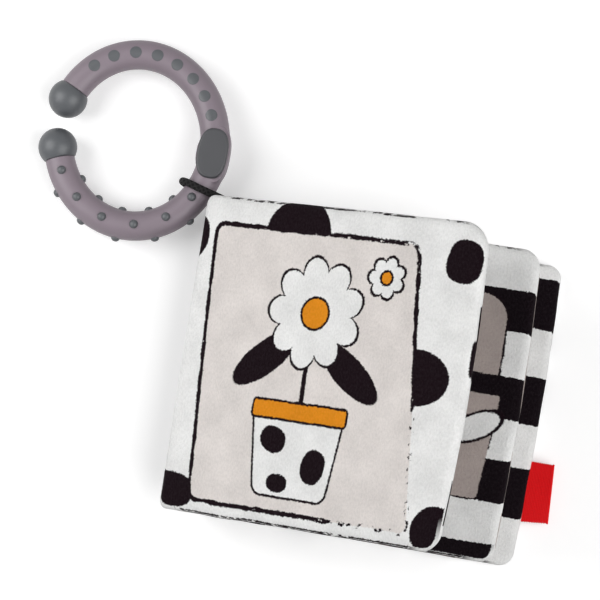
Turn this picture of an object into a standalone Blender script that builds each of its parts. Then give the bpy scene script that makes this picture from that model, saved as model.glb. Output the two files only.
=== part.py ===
"""A baby's cloth activity book: three padded leaves on a soft spine, fanned open on the floor.

An open teether ring of two plastics is tied to the top of the spine with an elastic cord.
The book lies on its back leaf. X runs from the spine to the fore edge, Y up the page and
Z up out of it. The origin is the middle of the back leaf's flat underside.
Everything is in metres; the named sizes are given in millimetres times MM.
"""
import math

import bmesh
import bpy
from mathutils import Matrix, Vector

MM = 0.001
QUARTER_TURN = 90
HALF_TURN = 180

# Clearances between pieces that touch on the real thing
CLEARANCE = 0.3 * MM
RUN_CLEARANCE = 0.25 * MM
CUTTER_OVERRUN = 2.0 * MM

# Mesh finish
MERGE_DISTANCE = 0.01 * MM
SHARP_DEGREES = 40

# Leaves: two plush skins over wadding, sewn together all round
LEAF_WIDTH = 133.8 * MM
LEAF_HEIGHT = 126.0 * MM
LEAF_THICKNESS = 9.0 * MM
FORE_CORNER_RADIUS = 11.0 * MM
SPINE_CORNER_RADIUS = 4.0 * MM
EDGE_RADIUS = 3.0 * MM
EDGE_RISE = 2.4 * MM
HEM_RISE = 0.5 * MM
SKIN_THICKNESS = 1.1 * MM
REST_FLAT_DEPTH = 0.5 * MM
FOIL_THICKNESS = 0.3 * MM
FOIL_CORNER_FACETS = 3
WADDING_CLEARANCE = 0.6 * MM

# How a leaf's surface rises from its seam: degrees round the sewn edge, then shares of its size
EDGE_TURN_DEGREES = (0, 35, 70)
CROWN_SHARES = (0.85, 0.58, 0.3, 0.0)
CORNER_CROWDING_SHARE = 1.35
RINGS = len(EDGE_TURN_DEGREES) + len(CROWN_SHARES) - 1

# Spine: two plush bands, each folding at a seam on either side
SPINE_PITCH = 10.0 * MM
BAND_THICKNESS = 2.0 * MM
BAND_STOP = 6.0 * MM
BAND_END_FACETS = 6
MIDDLE_LEAF_LIFT_ANGLE = 16.4
FRONT_COVER_LIFT_ANGLE = 17.6
LOWER_BAND_LEAN_ANGLE = 28.0
UPPER_BAND_LEAN_ANGLE = 30.0
LOWER_BAND_FOLD_SHARE = 0.2
UPPER_BAND_FOLD_SHARE = 0.1
BACK_SEAT_SHARE = 0.75
MIDDLE_SEAT_SHARE = 0.9
FRONT_SEAT_SHARE = 0.85

# Red woven tag: one ribbon folded over, its ends in the fore edge seam
TAG_REACH_TOP = 10.3 * MM
TAG_REACH_BOTTOM = 13.2 * MM
TAG_HEIGHT = 24.5 * MM
TAG_TOP_SHARE = 0.649
TAG_PLY = 0.45 * MM
TAG_FOLD_RADIUS = 0.5 * MM
TAG_FOLD_FACETS = 6

# Teether ring, in its own frame: centre at the origin, opening to the left, front to +Z
RING_HALF_WIDTH = 32.6 * MM
RING_HALF_HEIGHT = 35.9 * MM
TUBE_RADIUS = 6.1 * MM
UPPER_END_ANGLE = 139.5
LOWER_END_ANGLE = -166.0
TUBE_STATIONS = 56
TUBE_SIDES_SETTING = 6
PEG_RADIUS = 3.4 * MM
PEG_LENGTH = 5.5 * MM
PEG_ROOT = 1.5 * MM
BALL_RADIUS = 8.05 * MM
BALL_CUT = 5.0 * MM
BALL_ARC_FACETS = 12
BALL_SIDES = 20

# Soft plastic dots, nubs and pad let into the ring
WALK_STEPS = 40
DOT_COUNT = 8
DOT_END_GAP = 12.1 * MM
DOT_PAD_GAP = 5.7 * MM
DOT_RADIUS = 2.5 * MM
DOT_SIDES = 16
NUB_RADIUS = 1.85 * MM
NUB_PROUD = 1.3 * MM
NUB_SHOULDER = 0.3 * MM
NUB_SIDES = 12
NUB_DOME_FACETS = 4
FRONT_NUB_COUNT = 6
NUB_TIE_GAP = 4.5 * MM
NUB_END_GAP = 5.5 * MM
PAD_LENGTH = 20.8 * MM
PAD_WIDTH = 12.6 * MM
PAD_ANGLE = -12.0
PAD_SEAT_HEIGHT = 3.0 * MM
PAD_TOP = 7.6 * MM
PAD_BEVEL = 1.0 * MM
PAD_BEVEL_FACETS = 2
PAD_OUTLINE_POWER = 2.6
PAD_OUTLINE_POINTS = 28

# Elastic cord: a loop round the ring's tube, both ends in the back leaf's spine corner
CORD_RADIUS = 1.55 * MM
CORD_SIDES_SETTING = 2
CORD_HEADING_ANGLE = 161.8
CORD_STARTS_IN = 0.5 * MM
CORD_STARTS_BELOW_TOP = 1.5 * MM
CORD_REACH = 19.5 * MM
CORD_WRAP_STEP = 22.5
CORD_SMOOTH_STEPS = 2

# How the ring lies: tied next to its pad, turned on the floor, its balls resting there
TIE_PAD_GAP = 5.2 * MM
RING_TURN_ANGLE = 10.0


def reset_scene():
    """Remove whatever the scene holds."""
    for leftover in list(bpy.data.objects):
        bpy.data.objects.remove(leftover, do_unlink=True)


def new_collection(name):
    """A collection of the scene."""
    collection = bpy.data.collections.new(name)
    bpy.context.scene.collection.children.link(collection)
    return collection


def new_material(name, colour, roughness, sheen=0.0):
    """A Principled material with the part's own colour and roughness."""
    material = bpy.data.materials.new(name)
    material.use_nodes = True
    shader = material.node_tree.nodes["Principled BSDF"]
    shader.inputs["Base Color"].default_value = (*colour, 1.0)
    shader.inputs["Roughness"].default_value = roughness
    shader.inputs["Metallic"].default_value = 0.0
    shader.inputs["Sheen Weight"].default_value = sheen
    material.diffuse_color = (*colour, 1.0)
    return material


def add_object(name, data, material, collection, parent=None):
    """Link an object for a mesh or curve, with its material and its parent empty."""
    thing = bpy.data.objects.new(name, data)
    collection.objects.link(thing)
    if material:
        data.materials.append(material)
    thing.parent = parent
    return thing


def mesh_from(name, bm):
    """Finish a bmesh as a mesh with smooth faces and sharp edges at corners."""
    mesh = bpy.data.meshes.new(name)
    bm.to_mesh(mesh)
    bm.free()
    mesh.shade_smooth()
    mesh.set_sharp_from_angle(angle=math.radians(SHARP_DEGREES))
    return mesh


def add_boolean(thing, other, operation):
    """Join, cut or keep the overlap with another mesh object."""
    boolean = thing.modifiers.new(operation.lower(), 'BOOLEAN')
    boolean.solver = 'EXACT'
    boolean.operation = operation
    boolean.object = other


def hide_cutter(cutter):
    """Mark a cutter, so that it is drawn as wire and not rendered."""
    cutter.hide_render = True
    cutter.display_type = 'WIRE'


def new_empty(name, place, collection, parent=None):
    """An empty on a joint's axis; place is its matrix under its parent."""
    empty = bpy.data.objects.new(name, None)
    empty.empty_display_size = SPINE_PITCH
    collection.objects.link(empty)
    empty.parent = parent
    empty.matrix_local = place
    return empty


def fold(degrees_up, across=0.0, rise=0.0):
    """A place at (across, rise) whose X axis is lifted by so many degrees about the seam."""
    return Matrix.Translation((across, 0, rise)) @ Matrix.Rotation(-math.radians(degrees_up), 4, 'Y')


# Leaves

def leaf_outline(across_share, up_share, half_width, half_height, shrink):
    """The point of the rounded outline that lies towards a point of the unit square's rim."""
    crowd = CORNER_CROWDING_SHARE
    x = half_width * math.copysign(1 - (1 - abs(across_share)) ** crowd, across_share)
    y = half_height * math.copysign(1 - (1 - abs(up_share)) ** crowd, up_share)
    radius = (FORE_CORNER_RADIUS if x > 0 else SPINE_CORNER_RADIUS) - shrink
    centre_x = math.copysign(half_width - radius, x)
    centre_y = math.copysign(half_height - radius, y)
    if abs(x) > abs(centre_x) and abs(y) > abs(centre_y):
        arm = Vector((x - centre_x, y - centre_y))
        arm *= radius / arm.length
        x, y = centre_x + arm.x, centre_y + arm.y
    return x, y


def cushion_surface(bm, shrink, seam_level, sign, lowest=None):
    """Add one face of a padded leaf: hem, rounded edge and a gentle crown.

    The grid's rings run from the seam inwards. shrink is how far the surface lies inside the
    leaf's own outside, sign is 1 for the upper and -1 for the lower face, and lowest is the
    level at which the face is flattened. The leaf's seam plane is Z = 0, its middle X = Y = 0.
    """
    half_width = LEAF_WIDTH / 2 - shrink
    half_height = LEAF_HEIGHT / 2 - shrink
    edge_radius = EDGE_RADIUS - shrink
    edge_rise = EDGE_RISE - shrink - seam_level + CLEARANCE / 2
    crown = LEAF_THICKNESS / 2 - shrink - HEM_RISE - edge_rise - seam_level
    grid = bmesh.ops.create_grid(bm, x_segments=2 * RINGS, y_segments=2 * RINGS, size=1)
    for vertex in grid["verts"]:
        u, v = vertex.co.x, vertex.co.y
        reach = max(abs(u), abs(v))
        ring = RINGS - round(reach * RINGS)
        if ring < len(EDGE_TURN_DEGREES):
            turn = math.radians(EDGE_TURN_DEGREES[ring])
            inset = edge_radius * (1 - math.cos(turn))
            share_x = 1 - inset / half_width
            share_y = 1 - inset / half_height
            rise = HEM_RISE + edge_rise * math.sin(turn)
        else:
            share_x = share_y = CROWN_SHARES[ring - len(EDGE_TURN_DEGREES)]
            rise = HEM_RISE + edge_rise
        x, y = leaf_outline(u / reach, v / reach, half_width, half_height, shrink) if reach else (0, 0)
        level = sign * (seam_level + rise + crown * (1 - min(share_x, share_y) ** 2))
        if lowest is not None:
            level = max(level, lowest)
        vertex.co = (x * share_x, y * share_y, level)
    rim = [edge for edge in {edge for vertex in grid["verts"] for edge in vertex.link_edges}
           if edge.is_boundary]
    hem = bmesh.ops.extrude_edge_only(bm, edges=rim)["geom"]
    hem_verts = [item for item in hem if isinstance(item, bmesh.types.BMVert)]
    bmesh.ops.translate(bm, vec=(0, 0, -sign * HEM_RISE), verts=hem_verts)
    faces = list({face for vertex in grid["verts"] for face in vertex.link_faces})
    bm.normal_update()
    if (sum(face.normal.z for face in faces) > 0) != (sign > 0):
        bmesh.ops.reverse_faces(bm, faces=faces)


def leaf_floor(level_inside):
    """How low the back leaf's layers may reach, measured from its seam plane."""
    return -(LEAF_THICKNESS / 2 - REST_FLAT_DEPTH - level_inside)


def make_skin(name, sign, flattened, seat, material, collection):
    """One plush skin: an open surface thickened inwards, half a clearance from the seam."""
    bm = bmesh.new()
    cushion_surface(bm, 0.0, CLEARANCE / 2, sign, leaf_floor(0.0) if flattened else None)
    skin = add_object(name, mesh_from(name, bm), material, collection, seat)
    thicken = skin.modifiers.new("plush", 'SOLIDIFY')
    thicken.thickness = SKIN_THICKNESS
    thicken.offset = -1
    thicken.use_even_offset = True
    return skin


def make_wadding(name, flattened, seat, material, collection):
    """A whole cushion of wadding: an upper and a lower face that meet at the seam."""
    shrink = SKIN_THICKNESS + WADDING_CLEARANCE
    bm = bmesh.new()
    cushion_surface(bm, shrink, 0.0, 1)
    cushion_surface(bm, shrink, 0.0, -1, leaf_floor(shrink) if flattened else None)
    bmesh.ops.remove_doubles(bm, verts=bm.verts, dist=MERGE_DISTANCE)
    return add_object(name, mesh_from(name, bm), material, collection, seat)


def make_half_wadding(name, sign, seat, material, collection):
    """Half a cushion of wadding with a flat side that lies against the rustling foil."""
    shrink = SKIN_THICKNESS + WADDING_CLEARANCE
    bm = bmesh.new()
    cushion_surface(bm, shrink, FOIL_THICKNESS / 2 + CLEARANCE, sign)
    rim = [edge for edge in bm.edges if edge.is_boundary]
    bmesh.ops.contextual_create(bm, geom=rim)
    bmesh.ops.recalc_face_normals(bm, faces=bm.faces)
    return add_object(name, mesh_from(name, bm), material, collection, seat)


def make_foil(name, seat, material, collection):
    """The sheet of foil between the two waddings, a little smaller than they are."""
    shrink = SKIN_THICKNESS + WADDING_CLEARANCE + EDGE_RADIUS
    bm = bmesh.new()
    bmesh.ops.create_cube(bm, size=1)
    size = (LEAF_WIDTH - 2 * shrink, LEAF_HEIGHT - 2 * shrink, FOIL_THICKNESS)
    bmesh.ops.scale(bm, vec=size, verts=bm.verts)
    upright = [edge for edge in bm.edges if abs(edge.verts[0].co.z - edge.verts[1].co.z) > 0]
    bmesh.ops.bevel(bm, geom=upright, offset=FORE_CORNER_RADIUS - EDGE_RADIUS,
                     segments=FOIL_CORNER_FACETS, affect='EDGES')
    return add_object(name, mesh_from(name, bm), material, collection, seat)


# Spine

def seat_distance(share):
    """From a seam to the centre of a leaf's rounded edge, as a share of the closest approach."""
    return share * (EDGE_RADIUS + BAND_THICKNESS / 2 + CLEARANCE)


def band_inset(seat, tightest_degrees):
    """From a seam to a band's rounded end, so that it clears the leaf when folded tightest."""
    closest = EDGE_RADIUS + BAND_THICKNESS / 2 + CLEARANCE
    angle = math.radians(tightest_degrees)
    return math.sqrt(closest ** 2 - (seat * math.sin(angle)) ** 2) - seat * math.cos(angle)


def make_band(name, inset_near, inset_far, seam, material, collection):
    """A spine band: a flat strip with round long edges, along X from one seam to the next."""
    radius = BAND_THICKNESS / 2
    half_length = LEAF_HEIGHT / 2 - BAND_STOP
    bm = bmesh.new()
    rim = []
    for centre, start in ((inset_near, QUARTER_TURN), (SPINE_PITCH - inset_far, -QUARTER_TURN)):
        for step in range(BAND_END_FACETS + 1):
            angle = math.radians(start + HALF_TURN * step / BAND_END_FACETS)
            place = (centre + radius * math.cos(angle), -half_length, radius * math.sin(angle))
            rim.append(bm.verts.new(place))
    face = bm.faces.new(rim)
    swept = bmesh.ops.extrude_face_region(bm, geom=[face])
    moved = [item for item in swept["geom"] if isinstance(item, bmesh.types.BMVert)]
    bmesh.ops.translate(bm, vec=(0, 2 * half_length, 0), verts=moved)
    bmesh.ops.recalc_face_normals(bm, faces=bm.faces)
    return add_object(name, mesh_from(name, bm), material, collection, seam)


# Tag

def make_tag(name, seat, material, collection):
    """A ribbon folded over at its outer end, a little longer at the bottom than at the top."""
    radius = TAG_FOLD_RADIUS
    start = LEAF_WIDTH / 2 + CLEARANCE
    path = [(0.0, radius)]
    for step in range(TAG_FOLD_FACETS + 1):
        angle = math.radians(QUARTER_TURN - HALF_TURN * step / TAG_FOLD_FACETS)
        path.append((1.0, radius * math.sin(angle), radius * math.cos(angle)))
    path.append((0.0, -radius))
    top = LEAF_HEIGHT * (0.5 - TAG_TOP_SHARE)
    bm = bmesh.new()
    rows = []
    for y, reach in ((top, TAG_REACH_TOP), (top - TAG_HEIGHT, TAG_REACH_BOTTOM)):
        straight = reach - radius - TAG_PLY / 2
        rows.append([bm.verts.new((start + point[0] * straight + sum(point[2:]), y, point[1]))
                     for point in path])
    for i in range(len(path) - 1):
        bm.faces.new((rows[0][i], rows[0][i + 1], rows[1][i + 1], rows[1][i]))
    tag = add_object(name, mesh_from(name, bm), material, collection, seat)
    thicken = tag.modifiers.new("ribbon", 'SOLIDIFY')
    thicken.thickness = TAG_PLY
    thicken.offset = 0
    thicken.use_even_offset = True
    return tag


# Ring

def ring_point(degrees):
    """The tube's centre line at an angle seen from the ring's middle."""
    angle = math.radians(degrees)
    x, y = math.cos(angle), math.sin(angle)
    reach = 1 / math.hypot(x / RING_HALF_WIDTH, y / RING_HALF_HEIGHT)
    return Vector((reach * x, reach * y, 0))


def ring_tangent(degrees):
    """The centre line's direction there, counter-clockwise."""
    point = ring_point(degrees)
    return Vector((-point.y / RING_HALF_HEIGHT ** 2, point.x / RING_HALF_WIDTH ** 2, 0)).normalized()


def ring_place(degrees, height=0.0):
    """A place on the centre line: X outwards, Y along the tube, Z to the front."""
    along = ring_tangent(degrees)
    outwards = Vector((along.y, -along.x, 0))
    turned = Matrix((outwards, along, Vector((0, 0, 1)))).transposed().to_4x4()
    return Matrix.Translation(ring_point(degrees) + Vector((0, 0, height))) @ turned


def tube_mesh(name, points, radius, sides_setting):
    """A round tube along points, with welded caps."""
    curve = bpy.data.curves.new(name, 'CURVE')
    curve.dimensions = '3D'
    curve.bevel_depth = radius
    curve.bevel_resolution = sides_setting
    curve.use_fill_caps = True
    spline = curve.splines.new('POLY')
    spline.points.add(len(points) - 1)
    for spot, point in zip(spline.points, points):
        spot.co = (*point, 1)
    carrier = bpy.data.objects.new(name + "_path", curve)
    bpy.context.scene.collection.objects.link(carrier)
    evaluated = carrier.evaluated_get(bpy.context.evaluated_depsgraph_get())
    mesh = bpy.data.meshes.new_from_object(evaluated)
    bpy.data.objects.remove(carrier, do_unlink=True)
    bm = bmesh.new()
    bm.from_mesh(mesh)
    bpy.data.meshes.remove(mesh)
    bmesh.ops.remove_doubles(bm, verts=bm.verts, dist=MERGE_DISTANCE)
    return mesh_from(name, bm)


def add_cylinder(bm, radius, low, high, sides, place):
    """Add a closed cylinder along the place's Z axis, from low to high."""
    middle = Matrix.Translation((0, 0, (low + high) / 2))
    bmesh.ops.create_cone(bm, cap_ends=True, segments=sides, radius1=radius, radius2=radius,
                          depth=high - low, matrix=place @ middle)


def turned_mesh(name, profile):
    """A profile in the XZ plane, top to bottom, as edges for a Screw modifier."""
    bm = bmesh.new()
    spots = [bm.verts.new((x, 0, z)) for x, z in profile]
    for start, end in zip(spots, spots[1:]):
        bm.edges.new((start, end))
    mesh = bpy.data.meshes.new(name)
    bm.to_mesh(mesh)
    bm.free()
    return mesh


def add_turning(thing, sides):
    """Turn a profile round Z into a closed body."""
    screw = thing.modifiers.new("turned", 'SCREW')
    screw.steps = sides
    screw.render_steps = sides
    screw.use_merge_vertices = True
    screw.merge_threshold = MERGE_DISTANCE
    screw.use_smooth_shade = True


def tangent_out(degrees, sign):
    """The direction in which the tube ends, sign 1 counter-clockwise."""
    return ring_tangent(degrees) * sign


def ball_centre(degrees, sign):
    """The middle of the ball on the tube's end."""
    return ring_point(degrees) + tangent_out(degrees, sign) * (BALL_CUT + CLEARANCE)


def make_ring_body(seat, material, collection, cutters):
    """The mauve C: an oval tube with pegs at its ends and seats for the soft plastic."""
    span = UPPER_END_ANGLE - LOWER_END_ANGLE
    points = [ring_point(LOWER_END_ANGLE + span * i / (TUBE_STATIONS - 1)) for i in range(TUBE_STATIONS)]
    plain = tube_mesh("ring_body", points, TUBE_RADIUS, TUBE_SIDES_SETTING)
    body = add_object("ring_body", plain, material, collection, seat)
    whole_tube = add_object("whole_tube", plain.copy(), None, cutters, seat)
    hide_cutter(whole_tube)

    bm = bmesh.new()
    for degrees, sign in ((UPPER_END_ANGLE, 1), (LOWER_END_ANGLE, -1)):
        facing = tangent_out(degrees, sign).to_track_quat('Z', 'Y').to_matrix().to_4x4()
        place = Matrix.Translation(ring_point(degrees)) @ facing
        add_cylinder(bm, PEG_RADIUS, -PEG_ROOT, PEG_LENGTH, NUB_SIDES, place)
    pegs = add_object("ring_pegs", mesh_from("ring_pegs", bm), None, cutters, seat)
    hide_cutter(pegs)
    add_boolean(body, pegs, 'UNION')

    bm = bmesh.new()
    far = TUBE_RADIUS + CUTTER_OVERRUN
    for degrees in dot_angles():
        add_cylinder(bm, DOT_RADIUS + RUN_CLEARANCE, -far, far, DOT_SIDES, ring_place(degrees))
    for degrees in front_nub_angles():
        add_cylinder(bm, NUB_RADIUS + RUN_CLEARANCE, -far, far, NUB_SIDES, ring_place(degrees))
    sideways = Matrix.Rotation(math.radians(QUARTER_TURN), 4, 'Y')
    for degrees in side_nub_angles():
        place = ring_place(degrees) @ sideways
        add_cylinder(bm, NUB_RADIUS + RUN_CLEARANCE, -far, far, NUB_SIDES, place)
    add_pad_outline(bm, RUN_CLEARANCE, PAD_SEAT_HEIGHT, PAD_TOP + CUTTER_OVERRUN)
    holes = add_object("ring_seats", mesh_from("ring_seats", bm), None, cutters, seat)
    hide_cutter(holes)
    add_boolean(body, holes, 'DIFFERENCE')
    return whole_tube


def make_ball(name, degrees, sign, seat, material, collection):
    """A ball cut flat where the tube meets it, with a socket for the tube's peg."""
    socket_radius = PEG_RADIUS + RUN_CLEARANCE
    socket_floor = BALL_CUT - PEG_LENGTH
    profile = [(0, socket_floor), (socket_radius, socket_floor), (socket_radius, BALL_CUT)]
    start = math.asin(BALL_CUT / BALL_RADIUS)
    for step in range(BALL_ARC_FACETS + 1):
        angle = start - (start + math.pi / 2) * step / BALL_ARC_FACETS
        profile.append((BALL_RADIUS * math.cos(angle), BALL_RADIUS * math.sin(angle)))
    profile[-1] = (0, -BALL_RADIUS)
    ball = add_object(name, turned_mesh(name, profile), material, collection, seat)
    add_turning(ball, BALL_SIDES)
    facing = (-tangent_out(degrees, sign)).to_track_quat('Z', 'Y').to_matrix().to_4x4()
    ball.matrix_local = Matrix.Translation(ball_centre(degrees, sign)) @ facing
    return ball


def walk_along(degrees, distance):
    """The angle reached by going so far along the centre line, counter-clockwise if positive."""
    for _ in range(WALK_STEPS):
        spot = ring_point(degrees) + ring_tangent(degrees) * (distance / WALK_STEPS)
        degrees = math.degrees(math.atan2(spot.y, spot.x))
    return degrees


def evenly(first, last, count):
    """So many angles at one pitch from the first to the last."""
    return [first + (last - first) * i / (count - 1) for i in range(count)]


def tied_angle():
    """Where the cord holds the tube, just below the thumb pad."""
    return walk_along(PAD_ANGLE, -(PAD_LENGTH / 2 + TIE_PAD_GAP))


def dot_angles():
    """Where the flush dots sit, from the tube's upper end down to the thumb pad."""
    first = walk_along(UPPER_END_ANGLE, -DOT_END_GAP)
    last = walk_along(PAD_ANGLE, PAD_LENGTH / 2 + DOT_PAD_GAP)
    return evenly(first, last, DOT_COUNT)


def front_nub_angles():
    """Where the front row of nubs sits, from the cord round to the tube's lower end."""
    first = walk_along(tied_angle(), -NUB_TIE_GAP)
    last = walk_along(LOWER_END_ANGLE, NUB_END_GAP)
    return evenly(first, last, FRONT_NUB_COUNT)


def side_nub_angles():
    """Where the nubs of the inner and outer rows sit, half a pitch from the front row."""
    front = front_nub_angles()
    return [(one + other) / 2 for one, other in zip(front, front[1:])]


def make_dots(whole_tube, seat, material, collection):
    """Round posts right through the tube, trimmed flush with it front and back."""
    far = TUBE_RADIUS + CUTTER_OVERRUN
    for number, degrees in enumerate(dot_angles(), start=1):
        name = f"ring_dot_{number}"
        bm = bmesh.new()
        add_cylinder(bm, DOT_RADIUS, -far, far, DOT_SIDES, ring_place(degrees))
        dot = add_object(name, mesh_from(name, bm), material, collection, seat)
        add_boolean(dot, whole_tube, 'INTERSECT')


def nub_profile():
    """Half the outline of a post with a domed nub on each end, top to bottom."""
    shoulder = TUBE_RADIUS - NUB_SHOULDER
    dome = NUB_PROUD + NUB_SHOULDER
    half = []
    for step in range(NUB_DOME_FACETS + 1):
        angle = math.radians(QUARTER_TURN * (1 - step / NUB_DOME_FACETS))
        half.append((NUB_RADIUS * math.cos(angle), shoulder + dome * math.sin(angle)))
    half[0] = (0, shoulder + dome)
    return half + [(x, -z) for x, z in reversed(half)]


def make_nubs(seat, material, collection):
    """Posts right through the tube whose ends stand proud as rounded nubs."""
    mesh = turned_mesh("ring_nub", nub_profile())
    mesh.materials.append(material)
    sideways = Matrix.Rotation(math.radians(QUARTER_TURN), 4, 'Y')
    rows = [(f"ring_front_nub_{i}", ring_place(degrees)) for i, degrees in enumerate(front_nub_angles(), 1)]
    rows += [(f"ring_side_nub_{i}", ring_place(degrees) @ sideways)
             for i, degrees in enumerate(side_nub_angles(), 1)]
    for name, place in rows:
        nub = add_object(name, mesh, None, collection, seat)
        add_turning(nub, NUB_SIDES)
        nub.matrix_local = place


def add_pad_outline(bm, grow, low, high):
    """Add the thumb pad's oval, a squarish ellipse along the tube, as a prism."""
    place = ring_place(PAD_ANGLE)
    rim = []
    for step in range(PAD_OUTLINE_POINTS):
        angle = 2 * math.pi * step / PAD_OUTLINE_POINTS
        across = math.copysign(abs(math.cos(angle)) ** (2 / PAD_OUTLINE_POWER), math.cos(angle))
        along = math.copysign(abs(math.sin(angle)) ** (2 / PAD_OUTLINE_POWER), math.sin(angle))
        spot = Vector(((PAD_WIDTH / 2 + grow) * across, (PAD_LENGTH / 2 + grow) * along, low))
        rim.append(bm.verts.new(place @ spot))
    face = bm.faces.new(rim)
    swept = bmesh.ops.extrude_face_region(bm, geom=[face])
    moved = [item for item in swept["geom"] if isinstance(item, bmesh.types.BMVert)]
    bmesh.ops.translate(bm, vec=(0, 0, high - low), verts=moved)
    bmesh.ops.recalc_face_normals(bm, faces=bm.faces)


def make_pad(name, seat, material, collection):
    """The oval thumb pad with a bevelled rim, let into a flat on the tube."""
    bm = bmesh.new()
    add_pad_outline(bm, 0.0, PAD_SEAT_HEIGHT + RUN_CLEARANCE, PAD_TOP)
    rim = [edge for edge in bm.edges if all(vertex.co.z > PAD_TOP - RUN_CLEARANCE for vertex in edge.verts)]
    bmesh.ops.bevel(bm, geom=rim, offset=PAD_BEVEL, segments=PAD_BEVEL_FACETS, affect='EDGES')
    return add_object(name, mesh_from(name, bm), material, collection, seat)


# Cord

def cord_start():
    """The middle of the cord's two ends, just outside the back leaf's spine corner."""
    x = -LEAF_WIDTH / 2 + CORD_STARTS_IN
    y = LEAF_HEIGHT / 2 - CORD_STARTS_BELOW_TOP
    return Vector((x, y, back_seam_level()))


def back_seam_level():
    """How high the back leaf's seam lies above the floor."""
    return LEAF_THICKNESS / 2 - REST_FLAT_DEPTH


def ring_tie_level():
    """The tube's centre where it is tied: one cord and its clearances above the floor."""
    return TUBE_RADIUS + 2 * CORD_RADIUS + 2 * CLEARANCE


def ring_tip():
    """How far the ring tips about its tied spot, in radians, for its upper ball to touch down."""
    tied = ring_place(tied_angle())
    reach = -(tied.inverted() @ ball_centre(UPPER_END_ANGLE, 1)).x
    return math.asin((ring_tie_level() - BALL_RADIUS - RUN_CLEARANCE) / reach)


def cord_route():
    """The cord's own points: out of the seam, over the tube, round it, under it and back.

    Each is (distance from the seam, sideways, height). The wrap is half a turn round the tube.
    """
    wrap = TUBE_RADIUS + CORD_RADIUS + CLEARANCE
    level = ring_tie_level()
    upper = [(0.0, 1.8, 4.0), (2.5, 1.8, 4.4), (5.5, 1.7, 6.4), (8.5, 1.4, 9.6),
             (11.5, 0.9, 13.2), (14.5, 0.4, 16.2)]
    lower = [(15.0, -0.4, 2.0), (11.0, -0.9, 2.1), (7.0, -1.4, 2.6), (3.5, -1.8, 3.5), (0.0, -1.8, 4.0)]
    route = [Vector(point) * MM for point in upper]
    turns = int(HALF_TURN / CORD_WRAP_STEP)
    for step in range(turns + 1):
        angle = math.radians(QUARTER_TURN - step * CORD_WRAP_STEP)
        route.append(Vector((CORD_REACH + wrap * math.cos(angle), 0, level + wrap * math.sin(angle))))
    return route + [Vector(point) * MM for point in lower]


def smooth_through(points, steps):
    """Points on a Catmull-Rom curve through the given ones, so many to each stretch."""
    ends = [points[0] * 2 - points[1]] + points + [points[-1] * 2 - points[-2]]
    smooth = []
    for a, b, c, d in zip(ends, ends[1:], ends[2:], ends[3:]):
        for step in range(steps):
            t = step / steps
            smooth.append(0.5 * (2 * b + (c - a) * t + (2 * a - 5 * b + 4 * c - d) * t ** 2
                                 + (3 * b - a - 3 * c + d) * t ** 3))
    return smooth + [points[-1]]


def make_cord(name, seat, start, material, collection):
    """The elastic cord as one tube, in the seat's frame."""
    heading = math.radians(CORD_HEADING_ANGLE)
    along = Vector((math.cos(heading), math.sin(heading), 0))
    sideways = Vector((along.y, -along.x, 0))
    points = []
    for spot in smooth_through(cord_route(), CORD_SMOOTH_STEPS):
        points.append(along * spot.x + sideways * spot.y + Vector((0, 0, spot.z - start.z)))
    mesh = tube_mesh(name, points, CORD_RADIUS, CORD_SIDES_SETTING)
    return add_object(name, mesh, material, collection, seat)


def ring_tie_point(start):
    """Where the tube's centre line passes through the cord's loop."""
    heading = math.radians(CORD_HEADING_ANGLE)
    flat = Vector((start.x + CORD_REACH * math.cos(heading), start.y + CORD_REACH * math.sin(heading), 0))
    return flat + Vector((0, 0, ring_tie_level()))


# Assembly

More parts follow.
